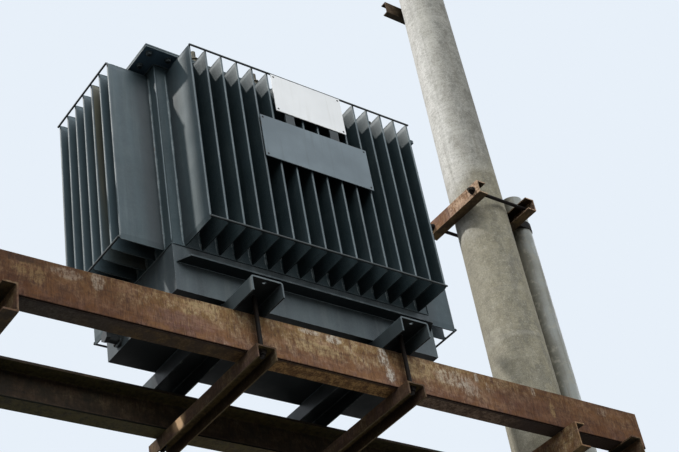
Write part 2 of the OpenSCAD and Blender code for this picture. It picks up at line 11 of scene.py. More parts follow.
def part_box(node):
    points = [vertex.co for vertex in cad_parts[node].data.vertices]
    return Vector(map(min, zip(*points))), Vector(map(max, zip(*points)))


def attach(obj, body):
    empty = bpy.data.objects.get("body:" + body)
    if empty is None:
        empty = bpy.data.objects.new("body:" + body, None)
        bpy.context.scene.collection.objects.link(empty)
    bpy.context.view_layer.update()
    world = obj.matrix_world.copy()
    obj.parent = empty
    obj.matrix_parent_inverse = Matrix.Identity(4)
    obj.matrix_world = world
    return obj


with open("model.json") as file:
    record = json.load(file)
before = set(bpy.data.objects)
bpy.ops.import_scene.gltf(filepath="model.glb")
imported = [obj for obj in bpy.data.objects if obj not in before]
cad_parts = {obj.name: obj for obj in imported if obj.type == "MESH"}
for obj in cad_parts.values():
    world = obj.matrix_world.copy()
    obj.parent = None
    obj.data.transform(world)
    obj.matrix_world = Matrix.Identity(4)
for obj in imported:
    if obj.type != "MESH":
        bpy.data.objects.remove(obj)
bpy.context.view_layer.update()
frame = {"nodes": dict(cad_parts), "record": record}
nodes = frame["nodes"]
SLOT_OF = {s["node"]: s["material_slot"] for s in frame["record"]["subparts"]}

# ---------------------------------------------------------------- places, from the CAD frame
base_lo, base_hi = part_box("tank_base")
TANK_X = (base_lo.x + base_hi.x) / 2
TANK_HALF_L = (base_hi.x - base_lo.x) / 2
TANK_HALF_W = (base_hi.y - base_lo.y) / 2
TANK_FOOT = base_lo.z
COVER_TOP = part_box("cover")[1].z
RIM_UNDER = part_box("rim_flange")[0].z
FIN_LOW = base_hi.z

# ---------------------------------------------------------------- sizes of part.scad, in no box
FIN_H = 0.821
FIN_TOP = FIN_LOW + FIN_H
FIN_DEPTH = 0.173
LONG_COUNT, LONG_PITCH = 16, 0.0684
SHORT_COUNT, SHORT_PITCH = 7, 0.0637
SEAM_HALF = 0.0015
FIN_HALF_T = 0.0045
POLES_X = (0.0, -2.650)
MEMBER_Z, ARM_Z = 4.0525, 5.4
ROD_D = 0.016
HOLD_DOWN_X = (TANK_X - 0.306, TANK_X + 0.326)
HOLD_DOWN_Y = (-0.311, 0.348)
TIE_ROD_ENDS = ((0.2078, 0.1553, MEMBER_Z), (0.1976, 0.1453, ARM_Z))  # off the pole, height
BRACKET_BOLT_Y = (-0.1366, 0.1428)
STRAP_BACKS = ((0.1823, MEMBER_Z), (0.1721, ARM_Z))  # x, height
STRAP_T, STRAP_TAB_Y = 0.004, 0.0693
LUG_L = 0.090
SEED = 20

UP, DOWN = (0, 0, 1), (0, 0, -1)


def middle(name):
    """The middle of a node's box, seen from above."""
    lo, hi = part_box(name)
    return (lo.x + hi.x) / 2, (lo.y + hi.y) / 2


def long_fin_x():
    """Where the fins of the front and rear wall stand."""
    return [TANK_X + (i - (LONG_COUNT - 1) / 2) * LONG_PITCH for i in range(LONG_COUNT)]


def short_fin_y():
    """Where the fins of the end walls stand, the foremost first."""
    return [(i - (SHORT_COUNT - 1) / 2) * SHORT_PITCH for i in range(SHORT_COUNT)]


# ---------------------------------------------------------------- camera
CAMERA_AT = Vector((-3.974, -3.445, 1.597))
CAMERA_RIGHT = Vector((0.80568536, -0.57208395, -0.15359381))
CAMERA_DOWN = Vector((0.25231858, 0.56605414, -0.78480446))
CAMERA_AHEAD = Vector((0.53591645, 0.59355089, 0.60040895))
SENSOR_MM, LENS_MM = 36.0, 74.80
CLIP_START, CLIP_END = 0.05, 200.0


def make_camera():
    """The photograph's camera, solved from the edges of the tank, the fins and the beams."""
    data = bpy.data.cameras.new("camera")
    data.sensor_width = SENSOR_MM
    data.lens = LENS_MM
    data.clip_start, data.clip_end = CLIP_START, CLIP_END
    cam = bpy.data.objects.new("camera", data)
    turn = Matrix((CAMERA_RIGHT, -CAMERA_DOWN, -CAMERA_AHEAD)).transposed()
    cam.matrix_world = Matrix.Translation(CAMERA_AT) @ turn.to_4x4()
    bpy.context.scene.collection.objects.link(cam)
    bpy.context.scene.camera = cam


# ---------------------------------------------------------------- materials
class Nodes:
    """A short way to write a node tree. Every call returns the output socket it makes."""

    def __init__(self, name):
        self.material = bpy.data.materials.new(name)
        self.material.use_nodes = True
        self.tree = self.material.node_tree
        self.tree.nodes.clear()
        self.out = self.tree.nodes.new("ShaderNodeOutputMaterial")
        self.shader = self.tree.nodes.new("ShaderNodeBsdfPrincipled")
        self.tree.links.new(self.shader.outputs[0], self.out.inputs[0])
        self.where = self.tree.nodes.new("ShaderNodeTexCoord").outputs["Object"]
        self.normal = self.tree.nodes.new("ShaderNodeNewGeometry").outputs["Normal"]

    def put(self, socket, value):
        """Links a socket to an input, or writes a value into it."""
        if isinstance(value, bpy.types.NodeSocket):
            self.tree.links.new(value, socket)
        elif isinstance(value, (tuple, list)) and len(value) == 3 and socket.type == "RGBA":
            socket.default_value = (*value, 1.0)
        else:
            socket.default_value = value

    def math(self, operation, a, b=0.0):
        n = self.tree.nodes.new("ShaderNodeMath")
        n.operation = operation
        self.put(n.inputs[0], a)
        self.put(n.inputs[1], b)
        return n.outputs[0]

    def times(self, a, b):
        return self.math("MULTIPLY", a, b)

    def plus(self, a, b):
        return self.math("ADD", a, b)

    def minus(self, a, b):
        return self.math("SUBTRACT", a, b)

    def most(self, a, b):
        return self.math("MAXIMUM", a, b)

    def size(self, a):
        return self.math("ABSOLUTE", a)

    def xyz(self, vector):
        n = self.tree.nodes.new("ShaderNodeSeparateXYZ")
        self.put(n.inputs[0], vector)
        return n.outputs

    def mapped(self, scale, location=(0.0, 0.0, 0.0)):
        """The place on the object, scaled along each axis and then moved."""
        n = self.tree.nodes.new("ShaderNodeMapping")
        self.put(n.inputs["Vector"], self.where)
        n.inputs["Location"].default_value = location
        n.inputs["Scale"].default_value = scale
        return n.outputs[0]

    def noise(self, scale, detail=4.0, rough=0.55, stretch=None):
        n = self.tree.nodes.new("ShaderNodeTexNoise")
        self.put(n.inputs["Vector"], self.mapped(stretch) if stretch else self.where)
        n.inputs["Scale"].default_value = scale
        n.inputs["Detail"].default_value = detail
        n.inputs["Roughness"].default_value = rough
        return n.outputs["Fac"]

    def cells(self, scale):
        """Distance to the middle of the nearest of scattered cells."""
        n = self.tree.nodes.new("ShaderNodeTexVoronoi")
        self.put(n.inputs["Vector"], self.where)
        n.inputs["Scale"].default_value = scale
        return n.outputs["Distance"]

    def ramp(self, value, low, high, to_low=0.0, to_high=1.0):
        """A smooth step from one value to another, level outside the range."""
        n = self.tree.nodes.new("ShaderNodeMapRange")
        n.clamp = True
        n.interpolation_type = "SMOOTHSTEP"
        self.put(n.inputs["Value"], value)
        limits = {"From Min": low, "From Max": high, "To Min": to_low, "To Max": to_high}
        for key, v in limits.items():
            n.inputs[key].default_value = v
        return n.outputs[0]

    def mix(self, share, a, b, blend="MIX"):
        n = self.tree.nodes.new("ShaderNodeMix")
        n.data_type, n.blend_type = "RGBA", blend
        self.put(n.inputs["Factor"], share)
        self.put(n.inputs["A"], a)
        self.put(n.inputs["B"], b)
        return [o for o in n.outputs if o.type == "RGBA"][0]

    def layers(self, colour, rows):
        """Lays tones over a colour. Rows: mask, low, high, share at low, share at high, tone."""
        for mask, low, high, at_low, at_high, tone in rows:
            colour = self.mix(self.ramp(mask, low, high, at_low, at_high), colour, tone)
        return colour

    def edges(self, radius, low, high):
        """1 on sharp edges, 0 on flats."""
        n = self.tree.nodes.new("ShaderNodeBevel")
        n.samples = 4
        n.inputs["Radius"].default_value = radius
        d = self.tree.nodes.new("ShaderNodeVectorMath")
        d.operation = "DOT_PRODUCT"
        self.put(d.inputs[0], n.outputs[0])
        self.put(d.inputs[1], self.normal)
        return self.ramp(d.outputs["Value"], high, low)

    def crevice(self, distance, low, high):
        """1 in corners and under overhangs, 0 in the open."""
        n = self.tree.nodes.new("ShaderNodeAmbientOcclusion")
        n.samples = 4
        n.inputs["Distance"].default_value = distance
        return self.ramp(n.outputs["AO"], high, low)

    def blob(self, at, size):
        """1 at a point, falling to 0 at a size away along each axis."""
        scale = tuple(1 / s for s in size)
        length = self.tree.nodes.new("ShaderNodeVectorMath")
        length.operation = "LENGTH"
        self.put(length.inputs[0], self.mapped(scale, tuple(-a / s for a, s in zip(at, size))))
        return self.ramp(length.outputs["Value"], 0.35, 1.0, 1.0, 0.0)

    def bump(self, height, strength, distance, below=None):
        """A normal bent by a height, on top of another bump if one is given."""
        n = self.tree.nodes.new("ShaderNodeBump")
        n.inputs["Strength"].default_value = strength
        n.inputs["Distance"].default_value = distance
        self.put(n.inputs["Height"], height)
        if below is not None:
            self.put(n.inputs["Normal"], below)
        return n.outputs[0]

    def finish(self, colour, roughness, normal=None, metallic=0.0, specular=0.5, **more):
        """Fills in the shader and returns the material."""
        self.put(self.shader.inputs["Base Color"], colour)
        self.put(self.shader.inputs["Roughness"], roughness)
        self.put(self.shader.inputs["Metallic"], metallic)
        self.put(self.shader.inputs["Specular IOR Level"], specular)
        if normal is not None:
            self.put(self.shader.inputs["Normal"], normal)
        for key, value in more.items():
            self.put(self.shader.inputs[key], value)
        return self.material


def srgb(r, g, b):
    """A colour written in 0 to 255 as a screen shows it, as linear values."""
    return tuple(
        c / 12.92 if c <= 0.04045 else ((c + 0.055) / 1.055) ** 2.4
        for c in (r / 255, g / 255, b / 255)
    )


TANK_TONES = srgb(48, 64, 69), srgb(62, 78, 84), srgb(96, 108, 108)


def paint(name, low, high, dust, rust_at=0.74, edge_wear_and_highlight=0.5, stain=None, under=(11, 13, 14)):
    """Weathered satin paint on sheet steel: cloudy colour, rain streaks, dust, rust, and chipped
    edges that are partly worn and partly a painted highlight. Recesses take painted shade. Faces
    that look
    down take the tone under: painted shade, and on the cover a painted reflection. A stain is a
    function that adds one place's marks: real dirt, painted shade and painted light."""
    n = Nodes(name)
    turned_up = n.xyz(n.normal)[2]
    colour = n.mix(n.ramp(n.noise(3.1, 5, 0.6), 0.33, 0.68), low, high)
    rolled = n.ramp(n.noise(13.0, 2, 0.5, stretch=(1, 1, 0.06)), 0.34, 0.66)
    sheet = n.mix(rolled, srgb(206, 208, 210), srgb(255, 255, 255))
    colour = n.mix(0.8, colour, sheet, blend="MULTIPLY")
    streak = n.noise(38.0, 3, 0.6, stretch=(1, 1, 0.045))
    run = n.noise(24.0, 3, 0.6, stretch=(1, 1, 0.06))
    colour = n.layers(colour, (
        (n.noise(14.0, 5, 0.65), 0.40, 0.68, 0.0, 0.22, srgb(76, 88, 89)),
        (streak, 0.52, 0.76, 0.0, 0.24, dust),
        (run, 0.30, 0.44, 0.30, 0.0, srgb(34, 43, 46)),
        (n.noise(160.0, 3, 0.7), 0.38, 0.72, 0.0, 0.12, dust)))
    up = n.ramp(turned_up, 0.55, 0.95, 0.0, 0.5)
    colour = n.mix(n.times(up, n.ramp(n.noise(7.0, 4), 0.3, 0.6)), colour, dust)
    # Painted shade: faces that look down take the tone under, which is dark by default.
    down = n.ramp(turned_up, -0.9, -0.6, 0.94, 0.0)
    colour = n.mix(down, colour, srgb(*under))
    # Painted shade: recesses, fin gaps and corners are darkened.
    recess = n.crevice(0.20, 0.14, 0.62)
    colour = n.mix(n.times(recess, 0.68), colour, srgb(17, 22, 23))
    dull = n.most(n.times(down, 0.8), recess)
    if stain:
        colour = stain(n, colour)
    rust = n.ramp(n.noise(31.0, 6, 0.7), rust_at, rust_at + 0.05)
    rust = n.times(rust, n.ramp(n.noise(2.3, 2), 0.5, 0.7))
    # Chipped edges: partly worn paint, partly a painted highlight where rounded edges catch the
    # light.
    if edge_wear_and_highlight:
        edge = n.edges(0.004, 0.90, 0.997)
        worn_edge_and_highlight = n.times(edge, n.ramp(n.noise(23.0, 5, 0.65), 0.44, 0.64))
        colour = n.mix(n.times(worn_edge_and_highlight, edge_wear_and_highlight), colour, srgb(146, 157, 158))
        rust = n.most(rust, n.times(edge, n.ramp(n.noise(44.0, 4, 0.7), 0.64, 0.71)))
    colour = n.mix(rust, colour, srgb(104, 70, 46))
    gloss = n.ramp(n.noise(12.0, 4), 0.3, 0.7, 0.44, 0.58)
    gloss = n.plus(gloss, n.times(rust, 0.3))
    wave = n.bump(n.noise(5.5, 2, 0.4), 0.16, 0.010)
    peel = n.bump(n.noise(420.0, 2, 0.5), 0.10, 0.0006, below=wave)
    sheen = n.times(n.minus(1.0, dull), 0.5)
    return n.finish(colour, gloss, n.bump(rust, 0.4, 0.0006, below=peel), specular=sheen)


def past_end(n, x):
    """How far a point lies outside the sheets of the end walls."""
    return n.minus(n.size(n.minus(x, TANK_X)), TANK_HALF_L)


def painted_root_shade(n, colour):
    """Painted shade on the part of every fin that is next to the tank, darkest at the wall."""
    x, y, _ = n.xyz(n.where)
    out = n.most(past_end(n, x), n.minus(n.size(y), TANK_HALF_W))
    uneven = n.ramp(n.noise(9.0, 4, 0.6, stretch=(1, 1, 0.2)), 0.3, 0.7, -0.02, 0.02)
    share = n.times(n.ramp(out, 0.003, 0.006), n.ramp(n.plus(out, uneven), 0.015, 0.115, 0.80, 0.0))
    return n.mix(share, colour, srgb(24, 31, 34))


def painted_fin_bounce_light(n, colour):
    """Painted light between the end walls' fins, on faces to the front: a lighter bluish tone for
    light thrown back between the sheets. The foremost fin doesn't take it.
    """
    x, y, _ = n.xyz(n.where)
    foremost = short_fin_y()[0]
    facing = n.ramp(n.xyz(n.normal)[1], -0.95, -0.75, 0.22, 0.0)
    share = n.times(n.ramp(past_end(n, x), 0.004, 0.012), facing)
    share = n.times(share, n.ramp(y, foremost + 0.010, foremost + 0.030))
    return n.mix(share, colour, srgb(108, 128, 138))


def oil_stain(n, colour):
    """Brown oil that has run down one fin of the left wall, over the painted light between the fins
    and the painted shade at their roots.
    """
    colour = painted_root_shade(n, painted_fin_bounce_light(n, colour))
    x, y, z = n.xyz(n.where)
    wall = TANK_X - TANK_HALF_L
    on_fin = n.math("LESS_THAN", x, wall - 0.004)
    near = n.size(n.minus(y, -SHORT_PITCH))
    on_fin = n.times(on_fin, n.math("LESS_THAN", near, 0.007))
    run = n.noise(26.0, 4, 0.6, stretch=(1, 1, 0.05))
    depth = n.plus(z, n.times(run, 0.5))
    share = n.times(on_fin, n.ramp(depth, FIN_LOW + 0.25, FIN_LOW + 0.75, 0.20, 0.70))
    tip = wall - FIN_DEPTH
    share = n.times(share, n.ramp(x, tip + 0.002, tip + 0.010))
    return n.mix(share, colour, n.mix(n.ramp(run, 0.4, 0.6), srgb(78, 74, 58), srgb(104, 98, 76)))


def painted_skid_shade(n, colour):
    """Painted shade on the skids where the tank stands over them."""
    _, y, z = n.xyz(n.where)
    below = n.ramp(z, TANK_FOOT - 0.003, TANK_FOOT + 0.001, 1.0, 0.0)
    inside = n.ramp(n.size(y), TANK_HALF_W - 0.01, TANK_HALF_W + 0.05, 0.92, 0.0)
    return n.mix(n.times(below, inside), colour, srgb(14, 17, 18))


def beam_underside(n, moss, blot, fine):
    """What lies under a beam: tones that change along it, bright golden ones that are partly rust
    and partly painted light thrown up from the ground, and painted shade along its front edge.
    """
    x, y, _ = n.xyz(n.where)
    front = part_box("front_beam")[0].y
    spread = n.ramp(blot, 0.4, 0.6)
    grey = n.mix(spread, srgb(60, 57, 54), srgb(84, 80, 74))
    # Partly painted light: the bright golden tones stand in for light thrown up from the ground.
    golden = n.mix(spread, srgb(112, 80, 48), srgb(188, 148, 94))
    dusty = n.mix(spread, srgb(92, 76, 64), srgb(146, 124, 106))
    moss = n.mix(n.ramp(x, TANK_X - 1.1, TANK_X - 0.6), grey, moss)
    for start, end, tone in (
            (-0.45, -0.20, golden), (0.35, 0.40, dusty), (0.75, 0.95, srgb(40, 33, 30))):
        moss = n.mix(n.ramp(x, TANK_X + start, TANK_X + end), moss, tone)
    moss = n.mix(n.ramp(fine, 0.40, 0.54, 0.6, 0.0), moss, srgb(44, 32, 22))
    # Painted shade: a dark strip just behind the front edge.
    return n.mix(n.ramp(y, front + 0.004, front + 0.014, 0.9, 0.0), moss, srgb(16, 12, 10))


def rusty_steel(name, band=None, grime_and_shade=0.0, marks=(), moss_tone=None):
    """Rolled steel left out for years: golden and purple brown rust, grains of beige paint, rolling
    lines. A band is the lowest and highest point of a beam: its upper half keeps more of its paint,
    its ends, away from the tank, are darker, and the lowest edge of its face takes a painted shade.
    Grime is the share of a dark tone over it all: partly old dirt, partly painted shade on parts
    that lie in shade. Hollows take painted shade. A mark is (place, size, tone, share). The moss
    tone lies on the faces that look down."""
    n = Nodes(name)
    big = n.noise(3.4, 5, 0.62)
    mid = n.noise(17.0, 5, 0.66)
    blot = n.noise(44.0, 5, 0.72, stretch=(1, 1, 0.7))
    fine = n.noise(150.0, 4, 0.75, stretch=(1, 1, 0.6))
    rolled = n.noise(62.0, 3, 0.6, stretch=(0.06, 0.06, 1))
    strokes = n.noise(90.0, 4, 0.68, stretch=(1, 1, 0.34))
    hair = n.noise(190.0, 3, 0.7, stretch=(1, 1, 0.13))
    smear = n.noise(21.0, 5, 0.7, stretch=(0.38, 0.38, 1.5))
    brown = n.mix(n.ramp(big, 0.36, 0.62), srgb(104, 70, 48), srgb(134, 98, 66))
    purple = n.mix(n.ramp(blot, 0.40, 0.58), srgb(92, 66, 60), srgb(136, 104, 92))
    colour = n.mix(n.ramp(mid, 0.40, 0.64, 0.0, 0.8), brown, purple)
    if band:
        foot, top = band
        x, _, z = n.xyz(n.where)
        ragged = n.plus(z, n.ramp(mid, 0.3, 0.7, -0.045, 0.045))
        off = n.size(n.minus(x, TANK_X + 0.05))
        upper = n.times(n.ramp(ragged, foot + 0.020, foot + 0.135), n.ramp(off, 0.5, 1.1, 1.0, 0.5))
    else:
        upper = n.ramp(n.noise(7.5, 4, 0.6), 0.42, 0.62)
    gold = n.mix(n.ramp(blot, 0.36, 0.64), srgb(122, 94, 56), srgb(162, 136, 94))
    colour = n.mix(n.times(upper, n.ramp(strokes, 0.32, 0.62, 0.25, 0.85)), colour, gold)
    grain = n.times(n.ramp(blot, 0.46, 0.62), n.ramp(fine, 0.44, 0.60))
    colour = n.mix(n.times(n.times(grain, upper), 0.65), colour, srgb(190, 174, 142))
    fleck = n.times(n.ramp(fine, 0.60, 0.68), n.ramp(mid, 0.52, 0.64))
    colour = n.mix(n.times(fleck, n.ramp(upper, 0.0, 1.0, 0.15, 0.6)), colour, srgb(214, 206, 186))
    torn = n.ramp(n.plus(strokes, blot), 0.86, 1.12)
    torn = n.times(torn, n.ramp(fine, 0.38, 0.54, 0.3, 1.0))
    for at, size, tone, share in marks:
        shape = n.ramp(n.times(n.blob(at, size), n.plus(torn, 0.30)), 0.08, 0.95)
        colour = n.mix(n.times(shape, share), colour, tone)
    colour = n.layers(colour, (
        (rolled, 0.54, 0.68, 0.0, 0.30, srgb(84, 60, 48)),
        (smear, 0.52, 0.66, 0.0, 0.45, srgb(158, 124, 100)),
        (smear, 0.34, 0.46, 0.50, 0.0, srgb(80, 56, 46)),
        (strokes, 0.34, 0.46, 0.36, 0.0, srgb(72, 52, 38)),
        (hair, 0.54, 0.68, 0.0, 0.30, srgb(176, 144, 112)),
        (hair, 0.34, 0.46, 0.40, 0.0, srgb(58, 42, 32)),
        (fine, 0.34, 0.46, 0.50, 0.0, srgb(66, 46, 34))))
    down = n.ramp(n.xyz(n.normal)[2], -0.9, -0.5, 0.9, 0.0)
    moss = n.mix(n.ramp(mid, 0.40, 0.66), srgb(48, 40, 29), srgb(104, 84, 52))
    if band:
        brim = n.times(n.ramp(z, top - 0.016, top - 0.004), n.ramp(big, 0.46, 0.58, 0.1, 0.7))
        colour = n.mix(brim, colour, srgb(70, 50, 40))
        ends = n.ramp(off, 0.40, 1.0, 0.0, 0.9)
        colour = n.mix(ends, colour, srgb(186, 172, 160), blend="MULTIPLY")
        moss = beam_underside(n, moss, blot, fine)
    colour = n.mix(down, colour, moss)
    # Painted shade in hollows, corners and the insides of channels.
    hollow = n.crevice(0.12, 0.2, 0.9)
    colour = n.mix(n.times(hollow, 0.8), colour, srgb(22, 18, 15))
    edge = n.times(n.edges(0.005, 0.90, 0.997), n.ramp(n.noise(30.0, 4, 0.6), 0.42, 0.6))
    colour = n.mix(n.times(edge, 0.35), colour, srgb(160, 138, 112))
    dull = hollow
    if band:
        # Painted shade: a thin dark line along the lowest edge of the beam's face.
        clear = n.times(n.ramp(z, foot + 0.004, foot + 0.010), n.ramp(mid, 0.32, 0.42, 1.0, 0.96))
        painted_lip_shade = n.times(n.minus(1.0, clear), n.minus(1.0, down))
        colour = n.mix(painted_lip_shade, colour, srgb(15, 10, 8))
        dull = n.most(hollow, painted_lip_shade)
    # Partly old dirt, partly painted shade: a dark tone over parts that lie in shade.
    if grime_and_shade:
        colour = n.mix(n.ramp(mid, 0.3, 0.7, grime_and_shade, grime_and_shade * 0.75), colour, srgb(26, 28, 24))
        for at, size, tone, share in marks:
            colour = n.mix(n.times(n.blob(at, size), share * 0.8), colour, tone)
    if moss_tone:
        patch = n.times(n.times(down, 0.8), n.ramp(blot, 0.36, 0.60, 0.3, 1.0))
        colour = n.mix(patch, colour, srgb(*moss_tone))
    scale = n.bump(mid, 0.30, 0.004)
    pits = n.bump(fine, 0.50, 0.0012, below=scale)
    flakes = n.bump(n.ramp(n.noise(34.0, 6, 0.75), 0.52, 0.58), 0.35, 0.0010, below=pits)
    sheen = n.times(n.minus(1.0, dull), 0.22)
    return n.finish(colour, n.ramp(fine, 0.3, 0.7, 0.78, 0.95), flakes, specular=sheen)


def concrete():
    """Spun concrete: fine grain, air holes, rings left by the mould. The side that faces the key
    light is painted lighter and the far side darker and mottled: painted light and shade, with some
    growth.
    """
    n = Nodes("pole_concrete")
    big = n.noise(2.4, 5, 0.6, stretch=(1, 1, 0.5))
    mid = n.noise(22.0, 5, 0.68)
    patchy = n.noise(15.0, 4, 0.7, stretch=(1, 1, 0.55))
    speckle = n.noise(95.0, 4, 0.72)
    grain = n.noise(260.0, 3, 0.75)
    stain = n.noise(30.0, 4, 0.6, stretch=(1, 1, 0.035))
    ring = n.noise(120.0, 2, 0.5, stretch=(0.03, 0.03, 1))
    wide = n.noise(9.0, 3, 0.5, stretch=(0.05, 0.05, 1))
    z = n.xyz(n.where)[2]
    turned_x, turned_y, _ = n.xyz(n.normal)
    # Painted light and shade: side is high where the surface faces the key light, low on the far
    # side.
    side = n.plus(n.times(turned_x, -0.65), n.times(turned_y, 0.75))
    side = n.plus(side, n.ramp(mid, 0.3, 0.7, -0.22, 0.22))
    side = n.minus(side, n.ramp(z, 6.35, 7.0, 0.0, 0.22))
    colour = n.mix(n.ramp(big, 0.35, 0.65), srgb(158, 156, 149), srgb(186, 184, 176))
    colour = n.mix(n.ramp(side, 0.0, 0.7), colour, srgb(226, 225, 221))
    # The far side takes a darker mottled tone: painted shade with some growth.
    damp_and_shaded = n.ramp(side, -0.75, 0.1, 1.0, 0.0)
    growth_and_shade = n.mix(
        n.ramp(n.noise(42.0, 5, 0.7), 0.36, 0.60), srgb(106, 105, 98), srgb(140, 139, 132))
    colour = n.mix(n.times(damp_and_shaded, 0.85), colour, growth_and_shade)
    height = n.plus(z, n.ramp(big, 0.3, 0.7, -0.4, 0.4))
    earthy = n.mix(n.ramp(mid, 0.36, 0.64), srgb(124, 117, 95), srgb(150, 143, 119))
    colour = n.mix(n.ramp(height, 5.1, 5.8, 0.85, 0.0), colour, earthy)
    colour = n.mix(n.ramp(mid, 0.46, 0.70, 0.0, 0.35), colour, srgb(134, 131, 122))
    spots = n.times(n.ramp(patchy, 0.50, 0.60), n.ramp(damp_and_shaded, 0.0, 1.0, 0.12, 0.5))
    colour = n.mix(spots, colour, srgb(96, 94, 86))
    colour = n.layers(colour, (
        (stain, 0.52, 0.72, 0.0, 0.40, srgb(112, 108, 96)),
        (ring, 0.46, 0.66, 0.0, 0.16, srgb(104, 101, 94)),
        (wide, 0.54, 0.62, 0.0, 0.14, srgb(206, 203, 194)),
        (speckle, 0.50, 0.66, 0.0, 0.40, srgb(108, 104, 94)),
        (speckle, 0.32, 0.46, 0.16, 0.0, srgb(222, 220, 212)),
        (grain, 0.48, 0.72, 0.0, 0.55, srgb(98, 95, 87)),
        (grain, 0.26, 0.46, 0.40, 0.0, srgb(222, 220, 212))))
    holes = n.times(n.ramp(n.cells(85.0), 0.05, 0.14, 1.0, 0.0), n.ramp(mid, 0.54, 0.60))
    colour = n.mix(n.times(holes, 0.5), colour, srgb(78, 74, 64))
    foot = n.ramp(z, 0.02, 0.7, 0.55, 0.0)
    colour = n.mix(n.times(foot, n.ramp(mid, 0.3, 0.6)), colour, srgb(82, 72, 54))
    rough = n.bump(n.noise(60.0, 5, 0.7), 0.35, 0.0025)
    rings = n.bump(wide, 0.30, 0.008, below=rough)
    sand = n.bump(grain, 0.5, 0.0008, below=rings)
    pits = n.bump(n.minus(1.0, holes), 0.8, 0.002, below=sand)
    return n.finish(colour, n.ramp(mid, 0.3, 0.7, 0.84, 0.96), pits, specular=0.3)


def rod_steel():
    """Dark weathered rods, nuts and straps."""
    n = Nodes("rod_steel")
    mid, fine = n.noise(40.0, 5, 0.65), n.noise(180.0, 3, 0.7)
    colour = n.mix(n.ramp(mid, 0.38, 0.64), srgb(15, 13, 12), srgb(30, 24, 20))
    colour = n.mix(n.ramp(fine, 0.54, 0.74, 0.0, 0.4), colour, srgb(50, 38, 30))
    edge = n.times(n.edges(0.0015, 0.85, 0.99), n.ramp(mid, 0.4, 0.6))
    colour = n.mix(n.times(edge, 0.5), colour, srgb(132, 122, 110))
    gloss = n.ramp(mid, 0.3, 0.7, 0.5, 0.8)
    return n.finish(colour, gloss, n.bump(fine, 0.4, 0.0006), specular=0.08)


def pipe_plastic():
    """Old plastic pipe with brown-grey dirt that has run down it. The side that faces the pole is
    darker brown, partly dirt and partly painted shade; the far side takes a painted highlight.
    """
    n = Nodes("pipe_plastic")
    mid = n.noise(9.0, 5, 0.6)
    stain = n.noise(42.0, 4, 0.6, stretch=(1, 1, 0.03))
    turned_x, turned_y, _ = n.xyz(n.normal)
    # Painted light and shade: darker brown toward the pole, partly dirt, and paler on the far side.
    side = n.minus(n.times(turned_y, 0.57), n.times(turned_x, 0.81))
    side = n.plus(side, n.ramp(mid, 0.3, 0.7, -0.3, 0.3))
    colour = n.mix(n.ramp(mid, 0.35, 0.65), srgb(128, 131, 126), srgb(152, 153, 147))
    colour = n.layers(colour, (
        (side, -0.7, 0.6, 0.0, 0.9, srgb(74, 71, 58)),
        (side, -1.0, -0.5, 0.55, 0.0, srgb(190, 194, 194)),
        (stain, 0.48, 0.70, 0.0, 0.65, srgb(92, 86, 72)),
        (n.noise(30.0, 5, 0.7), 0.50, 0.68, 0.0, 0.5, srgb(150, 146, 130)),
        (n.noise(120.0, 3, 0.7), 0.52, 0.75, 0.0, 0.4, srgb(80, 76, 66))))
    scratch = n.bump(n.noise(240.0, 2, 0.5, stretch=(1, 1, 0.02)), 0.12, 0.0004)
    return n.finish(colour, n.ramp(mid, 0.3, 0.7, 0.5, 0.68), scratch, specular=0.35)


def gasket_rubber():
    """Black rubber gone grey."""
    n = Nodes("gasket_rubber")
    mid = n.noise(60.0, 4, 0.6)
    colour = n.mix(n.ramp(mid, 0.35, 0.65), srgb(28, 28, 28), srgb(50, 49, 46))
    grain = n.bump(n.noise(300.0, 3), 0.3, 0.0004)
    return n.finish(colour, n.ramp(mid, 0.3, 0.7, 0.75, 0.9), grain)


def glaze():
    """Brown glazed porcelain with a little dust on the sheds."""
    n = Nodes("insulator_glaze")
    mid = n.noise(14.0, 3, 0.5)
    colour = n.mix(n.ramp(mid, 0.35, 0.65), srgb(52, 27, 19), srgb(74, 39, 27))
    up = n.ramp(n.xyz(n.normal)[2], 0.35, 0.9, 0.0, 0.55)
    dust = n.times(up, n.ramp(n.noise(40.0, 4), 0.35, 0.65))
    colour = n.mix(dust, colour, srgb(104, 92, 78))
    gloss = n.plus(n.ramp(mid, 0.3, 0.7, 0.20, 0.32), n.times(up, 0.6))
    speck = n.bump(n.noise(70.0, 2, 0.5), 0.06, 0.0008)
    coat = {"Coat Weight": 0.12, "Coat Roughness": 0.15}
    return n.finish(colour, gloss, speck, specular=0.30, **coat)


def plain_metal(name, low, high, dull, smoothest, roughest, metallic):
    """Bare metal gone dull, with painted shade in its corners."""
    n = Nodes(name)
    mid, fine = n.noise(35.0, 4, 0.6), n.noise(220.0, 3, 0.6)
    colour = n.mix(n.ramp(mid, 0.36, 0.64), low, high)
    colour = n.mix(n.ramp(fine, 0.50, 0.72, 0.0, 0.45), colour, dull)
    # Painted shade in corners.
    colour = n.mix(n.times(n.crevice(0.012, 0.3, 0.95), 0.55), colour, srgb(50, 44, 38))
    gloss = n.ramp(mid, 0.3, 0.7, smoothest, roughest)
    return n.finish(colour, gloss, n.bump(fine, 0.2, 0.0004), metallic=metallic)


